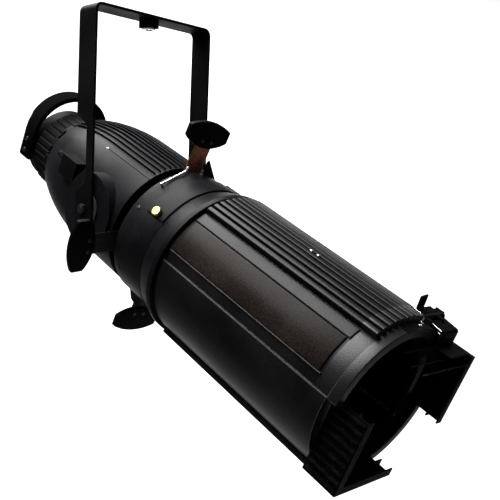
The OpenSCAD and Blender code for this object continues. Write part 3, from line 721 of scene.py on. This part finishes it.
# ------------------------------------------------------------------ lamp house
DOME_R, DOME_START, DOME_ARC, HOUSE_BACK, HOUSE_FRONT = 113.5, -50.0, 390.0, -196.0, 70.0


def dome(z):
    """The lamp house's radius: a cylinder that closes in towards the rear."""
    if z > DOME_START:
        return DOME_R
    return DOME_R - DOME_ARC + math.sqrt(DOME_ARC ** 2 - (z - DOME_START) ** 2)


# height of a fin over its distance from the fin's middle, degrees and millimetres
FIN_FORM = [(0, 4.9), (0.22, 4.85), (0.38, 4.55), (0.47, 4.0), (0.62, 0.35), (0.9, 0)]
HOUSE_EDGE, REAR_EDGE = 1.5, 3.0
FIN_HALF = 0.9
# two grooves run beside the fins, from SEAM_BACK forward
SEAMS, SEAM_HALF, SEAM_DEPTH, SEAM_BACK = (128.5, 51.5), 0.34, 1.2, -52


def house_outer(d, z):
    """The lamp house's outer radius with its fins and grooves."""
    r = dome(z) - drop(HOUSE_FRONT - z, HOUSE_EDGE) - drop(z - HOUSE_BACK, REAR_EDGE)
    for c in RIB_DIRS:
        off = abs(d - c)
        if off < FIN_HALF:
            rise = table([(-189, 0), (-187, 0.75), (-184, 1)], z)
            fall = table([(62, 1), (65, 0.8), (66, 0)], z)
            r += table(FIN_FORM, off) * rise * fall
    for c in SEAMS:
        if abs(d - c) < SEAM_HALF and z > SEAM_BACK:
            r -= SEAM_DEPTH
    return r


house_degs = {2.0 * k for k in range(180)}
for c in RIB_DIRS:
    house_degs -= {d for d in house_degs if abs(d - c) < 1.2}
    house_degs |= {round(c + s * off, 3) for off, _ in FIN_FORM for s in (-1, 1)}
for c in SEAMS:
    house_degs -= {d for d in house_degs if abs(d - c) < 0.6}
    house_degs |= {c - 0.36, c - 0.33, c + 0.33, c + 0.36}
house_zs = sorted({*stations(HOUSE_BACK, HOUSE_FRONT, REAR_EDGE),
                   -189, -187, -184, -172, -160, -148, -136, -124, -110, -96, -80, -65,
                   SEAM_BACK - 0.1, SEAM_BACK + 0.1, -30, 0, 30, 55, 62, 65, 66,
                   68.5, 69.2, 69.7})
REAR_WALL = HOUSE_BACK + 3
piece("house_shell", *merged(
    shell_mesh(house_zs, sorted(house_degs) + [360.0], house_outer,
               lambda d, z: dome(z) - (5.5 if z < -192 else 3.0)),
    revolve_mesh([(64.05, HOUSE_BACK), (dome(HOUSE_BACK) - 2.9, HOUSE_BACK),
                  (dome(REAR_WALL) - 2.9, REAR_WALL), (64.05, REAR_WALL)])),
    "head", "cast_black", ["lamphouse"], sharp=34)


# ------------------------------------------------------------------ handle arch
ARCH_R, ARCH_MID, ARCH_FOOT, ARCH_Z = 77.0, 25, -28, -280
ARCH_HALF_T, ARCH_HALF_W, ARCH_ROUND = 5, 18, 3.4
SLEEVE_FROM, SLEEVE_TO, SLEEVE_STEP = 22, 158, 0.7


def arch_mesh():
    """Strap of rounded section swept over the rear; a grip sleeve covers its top."""
    leg = (ARCH_FOOT, -26, -8, 10)
    path = [(ARCH_R, y, 0.0) for y in leg]
    path += [(ARCH_R * math.cos(math.radians(t)), ARCH_MID + ARCH_R * math.sin(math.radians(t)),
              float(t)) for t in [0, 10, 21.9, 22.1, *range(26, 156, 4), 157.9, 158.1, 170, 180]]
    path += [(-ARCH_R, y, 180.0) for y in reversed(leg)]
    section = rounded_outline([(-ARCH_HALF_T, -ARCH_HALF_W), (ARCH_HALF_T, -ARCH_HALF_W),
                               (ARCH_HALF_T, ARCH_HALF_W), (-ARCH_HALF_T, ARCH_HALF_W)],
                              [ARCH_ROUND] * 4, 5)
    verts = []
    for x, y, t in path:
        inset = 0.0 if SLEEVE_FROM < t < SLEEVE_TO else SLEEVE_STEP
        if y == ARCH_FOOT:
            inset += 1.0
        c, s = math.cos(math.radians(t)), math.sin(math.radians(t))
        ku, kw = 1 - inset / ARCH_HALF_T, 1 - inset / ARCH_HALF_W
        verts += [at(x + u * ku * c, y + u * ku * s, ARCH_Z + w * kw) for u, w in section]
    n, rows = len(section), len(path)
    faces = [[i * n + k, i * n + (k + 1) % n, (i + 1) * n + (k + 1) % n, (i + 1) * n + k]
             for i in range(rows - 1) for k in range(n)]
    faces += [list(range(n)), [(rows - 1) * n + k for k in range(n)]]
    return verts, faces


# the arch takes the grip moulding's shaded copy: painted shade
piece("carry_handle", *arch_mesh(), "head", "arch_black", ["handle_arch"], slot="grip_black")


# ------------------------------------------------------------------ shutter grips and rivets
# direction, station along the beam, and distance pushed outward
SHUTTERS = {"top": (85.5, 75, 0), "bottom": (267.5, 78, -4), "left": (188, 81, -4),
            "right": (-8, 84, 0)}
GRIP_HALF_T, GRIP_EDGE = 4.5, 1.4
# the fan's two arcs: centre, radius and half height
GRIP_INNER, GRIP_OUTER, GRIP_STEPS = (230, 75, 44.6), (96, 105, 44.7), 22
RIVET_R, RIVET_H, RIVET_U, RIVET_V, RIVET_W = 3.4, 1.05, 167, 10, 4.45


def grip_outline():
    """Fan outline: a shallow arc towards the blade, a wide arc outside, corners rounded."""
    def side_arc(centre, r, half, way):
        ys = [way * (half - 2 * half * k / GRIP_STEPS) for k in range(GRIP_STEPS + 1)]
        return [(centre - way * math.sqrt(r ** 2 - y * y), y) for y in ys]

    low = [(170.9, -45.2), (172.0, -45.5), (189.4, -45.5), (190.4, -45.2)]
    high = [(x, -y) for x, y in reversed(low)]
    return side_arc(*GRIP_INNER, 1) + low + side_arc(*GRIP_OUTER, -1) + high


for side, (deg, z, out) in SHUTTERS.items():
    a = math.radians(deg)

    def place(u, v, w, a=a, z=z, out=out):
        return at((u + out) * math.cos(a) - v * math.sin(a),
                  (u + out) * math.sin(a) + v * math.cos(a), z + w)

    piece("grip_" + side, *slab_mesh(grip_outline(), -GRIP_HALF_T, GRIP_HALF_T, GRIP_EDGE, place),
          "shutter_" + side, "grip_black", ["shutter_handle_" + side])
    heads = []
    for v in (-RIVET_V, RIVET_V):
        for s in (-1, 1):
            m = frame_at(place(RIVET_U, v, s * RIVET_W), BEAM * s)
            heads.append(screw_mesh(m, RIVET_R, RIVET_H))
    piece("rivet_heads_" + side, *merged(*heads), "shutter_" + side, "dark_steel",
          ["rivets_" + side], slot="steel")


# ------------------------------------------------------------------ screws
def screws(name, node, body, spots, r, h, look="steel"):
    """A group of equal heads, each turned by chance."""
    meshes = [screw_mesh(m, r, h, random.uniform(0, math.pi)) for m in spots]
    piece(name, *merged(*meshes), body, look, [node], slot="steel")


screws("gate_screw_heads", "gate_screws", "barrel",
       [out_at(GATE_R, d, 101) for d in (28, 152, 208, 332)], 3.4, 1.4, "dark_steel")
screws("house_screw_heads", "lamphouse_screws", "head",
       [out_at(113.4, d, -56) for d in SEAMS], 1.7, 1.1)
screws("tube_screw_heads", "tube_screws", "barrel", [out_at(130.0, 98, z) for z in (378, 392)],
       2.6, 1.5)
screws("saddle_screw_heads", "saddle_screws", "barrel",
       [out_at(120.2, 79, 557), out_at(120.2, 86, 563)], 2.6, 1.3)
screws("handle_screw_heads", "handle_screws", "head",
       [frame_at(at(s * (ARCH_R + ARCH_HALF_T), y, ARCH_Z), SIDE * s) for s in (-1, 1)
        for y in (-14, 8)], 4.6, 2.2, "dark_steel")


def wire_mesh(line, r, count=16):
    """Round wire along points given in head axes."""
    verts = []
    for i, p in enumerate(line):
        a, b = Vector(line[max(i - 1, 0)]), Vector(line[min(i + 1, len(line) - 1)])
        t = (b - a).normalized()
        u = t.orthogonal().normalized()
        v = t.cross(u)
        for k in range(count):
            q = 2 * math.pi * k / count
            verts.append(at(*(Vector(p) + (u * math.cos(q) + v * math.sin(q)) * r)))
    faces = [[i * count + k, i * count + (k + 1) % count, (i + 1) * count + (k + 1) % count,
              (i + 1) * count + k] for i in range(len(line) - 1) for k in range(count)]
    last = len(verts) - count
    return verts, faces + [list(range(count)), [last + k for k in range(count)]]


# bright steel wire along the latch plate's left edge, standing in for the highlight along that edge
WIRE_X, WIRE_R = 47.2, 0.8
piece("latch_edge_highlight_wire", *wire_mesh([(WIRE_X, y, z) for y, z in (
    (120.0, 526), (119.6, 531), (116.6, 557), (114.3, 575.5))], WIRE_R), "latch", "steel")


HEAD_R, KNURLS, KNURL_SIDES, KNURL_DEPTH = 7.6, 24, 4, 0.35


def thumbscrew_mesh():
    """Knurled head with a dished face on a short neck."""
    m = out_at(118.55, THUMB_DEG, THUMB_Z)
    n = KNURLS * KNURL_SIDES
    profile = [(2.9, -4.0), (2.9, 0.0), (6.6, 0.0), (HEAD_R, 0.8), (HEAD_R, 6.2), (6.9, 7.0),
               (5.2, 7.1), (4.8, 6.5), (0.02, 6.5)]
    verts = []
    for r, h in profile:
        for k in range(n):
            a = 2 * math.pi * k / n
            wave = (1 - math.cos(2 * math.pi * k / KNURL_SIDES)) / 2
            q = r - (KNURL_DEPTH * wave if r == HEAD_R else 0.0)
            verts.append(m @ Vector((q * math.cos(a) * MM, q * math.sin(a) * MM, h * MM)))
    faces = [[i * n + k, i * n + (k + 1) % n, (i + 1) * n + (k + 1) % n, (i + 1) * n + k]
             for i in range(len(profile) - 1) for k in range(n)]
    return verts, faces + [list(range(n)), list(range(len(profile) * n - n, len(profile) * n))]


piece("thumbscrew_head", *thumbscrew_mesh(), "cover_thumbscrew", "brass", ["cover_screw"])


# ------------------------------------------------------------------ stage, light, camera
# metres and degrees; the camera was fitted to the photograph
CAMERA_AZ, CAMERA_EL, CAMERA_ROLL = -46.91, 3.43, 2.24
CAMERA_AT = Vector((-0.8860, -1.0902, -0.3142))
CAMERA_LENS, SENSOR = 56.8, 36.0
FLOOR_Z, FLOOR_DEPTH, FLOOR_RISE, FLOOR_BEND, FLOOR_HALF_W = -3.2, 9.0, 8.5, 3.0, 12.0
FLOOR_STEPS = 14
WORLD_STRENGTH = 0.15
TOP_AT, TOP_AIM, TOP_SIZE, TOP_WATTS = (-0.45, 0.3, 1.4), (0, -0.15, -0.45), (2.6, 1.5), 310
BACK_NEAR, BACK_HIGH, BACK_FAR, BACK_LOW = 3.4, 2.4, 9, -0.8
BACK_SIZE, BACK_WATTS, BACK_SPREAD = (4.0, 1.4), 660, 130


def make_floor():
    """Pale floor that sweeps up behind the object."""
    mesh = bpy.data.meshes.new("floor")
    bm = bmesh.new()
    profile = [(-FLOOR_DEPTH, 0.0)]
    for i in range(FLOOR_STEPS + 1):
        a = math.radians(90 * i / FLOOR_STEPS)
        profile.append((FLOOR_DEPTH - FLOOR_BEND + FLOOR_BEND * math.sin(a),
                        FLOOR_BEND - FLOOR_BEND * math.cos(a)))
    profile.append((FLOOR_DEPTH, FLOOR_RISE))
    rows = [[bm.verts.new((s * FLOOR_HALF_W, y, z)) for y, z in profile] for s in (-1, 1)]
    for i in range(len(profile) - 1):
        bm.faces.new((rows[0][i], rows[1][i], rows[1][i + 1], rows[0][i + 1]))
    bm.to_mesh(mesh)
    bm.free()
    floor = bpy.data.objects.new("floor", mesh)
    bpy.context.scene.collection.objects.link(floor)
    for poly in mesh.polygons:
        poly.use_smooth = True
    floor.location = (0, 0, FLOOR_Z)
    floor.rotation_euler = (0, 0, math.radians(CAMERA_AZ))
    mat, nodes, links, shader = new_material("pale_floor")
    mottled = noise(nodes, links, 3.0, 3)
    links.new(ramp(nodes, links, mottled.outputs["Fac"], 0.60, 0.63), shader.inputs["Base Color"])
    shader.inputs["Roughness"].default_value = 0.85
    shader.inputs["Specular IOR Level"].default_value = 0.1
    mesh.materials.append(mat)


def area_light(name, place, aim, size, power, spread=180):
    """Rectangular light at place, turned to face aim."""
    lamp = bpy.data.lights.new(name, "AREA")
    lamp.shape = "RECTANGLE"
    lamp.size, lamp.size_y = size
    lamp.energy = power
    lamp.spread = math.radians(spread)
    obj = bpy.data.objects.new(name, lamp)
    bpy.context.scene.collection.objects.link(obj)
    obj.location = place
    obj.rotation_mode = "QUATERNION"
    obj.rotation_quaternion = (Vector(aim) - Vector(place)).to_track_quat("-Z", "Y")


def make_camera():
    """The photograph's view."""
    cam = bpy.data.cameras.new("camera")
    cam.lens = CAMERA_LENS
    cam.sensor_width = SENSOR
    cam.clip_end = 60
    obj = bpy.data.objects.new("camera", cam)
    bpy.context.scene.collection.objects.link(obj)
    a, e = math.radians(CAMERA_AZ), math.radians(CAMERA_EL)
    back = Vector((math.sin(a) * math.cos(e), -math.cos(a) * math.cos(e), math.sin(e)))
    right = Vector((math.cos(a), math.sin(a), 0))
    up = back.cross(right)
    turn = Matrix((right, up, back)).transposed() @ Matrix.Rotation(
        math.radians(CAMERA_ROLL), 3, "Z")
    obj.matrix_world = Matrix.Translation(CAMERA_AT) @ turn.to_4x4()
    bpy.context.scene.camera = obj


def make_light():
    """A soft box over the object and a light on the floor's far side."""
    world = bpy.data.worlds.new("studio")
    world.use_nodes = True
    shader = world.node_tree.nodes["Background"]
    shader.inputs["Color"].default_value = (1, 1, 1, 1)
    shader.inputs["Strength"].default_value = WORLD_STRENGTH
    bpy.context.scene.world = world
    bpy.context.scene.view_settings.view_transform = "Standard"
    area_light("softbox_top", TOP_AT, TOP_AIM, TOP_SIZE, TOP_WATTS)
    away = Vector((math.sin(math.radians(-CAMERA_AZ)), math.cos(math.radians(CAMERA_AZ)), 0))
    area_light("backdrop_light", away * BACK_NEAR + Vector((0, 0, BACK_HIGH)),
               away * BACK_FAR + Vector((0, 0, BACK_LOW)), BACK_SIZE, BACK_WATTS, BACK_SPREAD)


make_camera()
make_floor()
make_light()
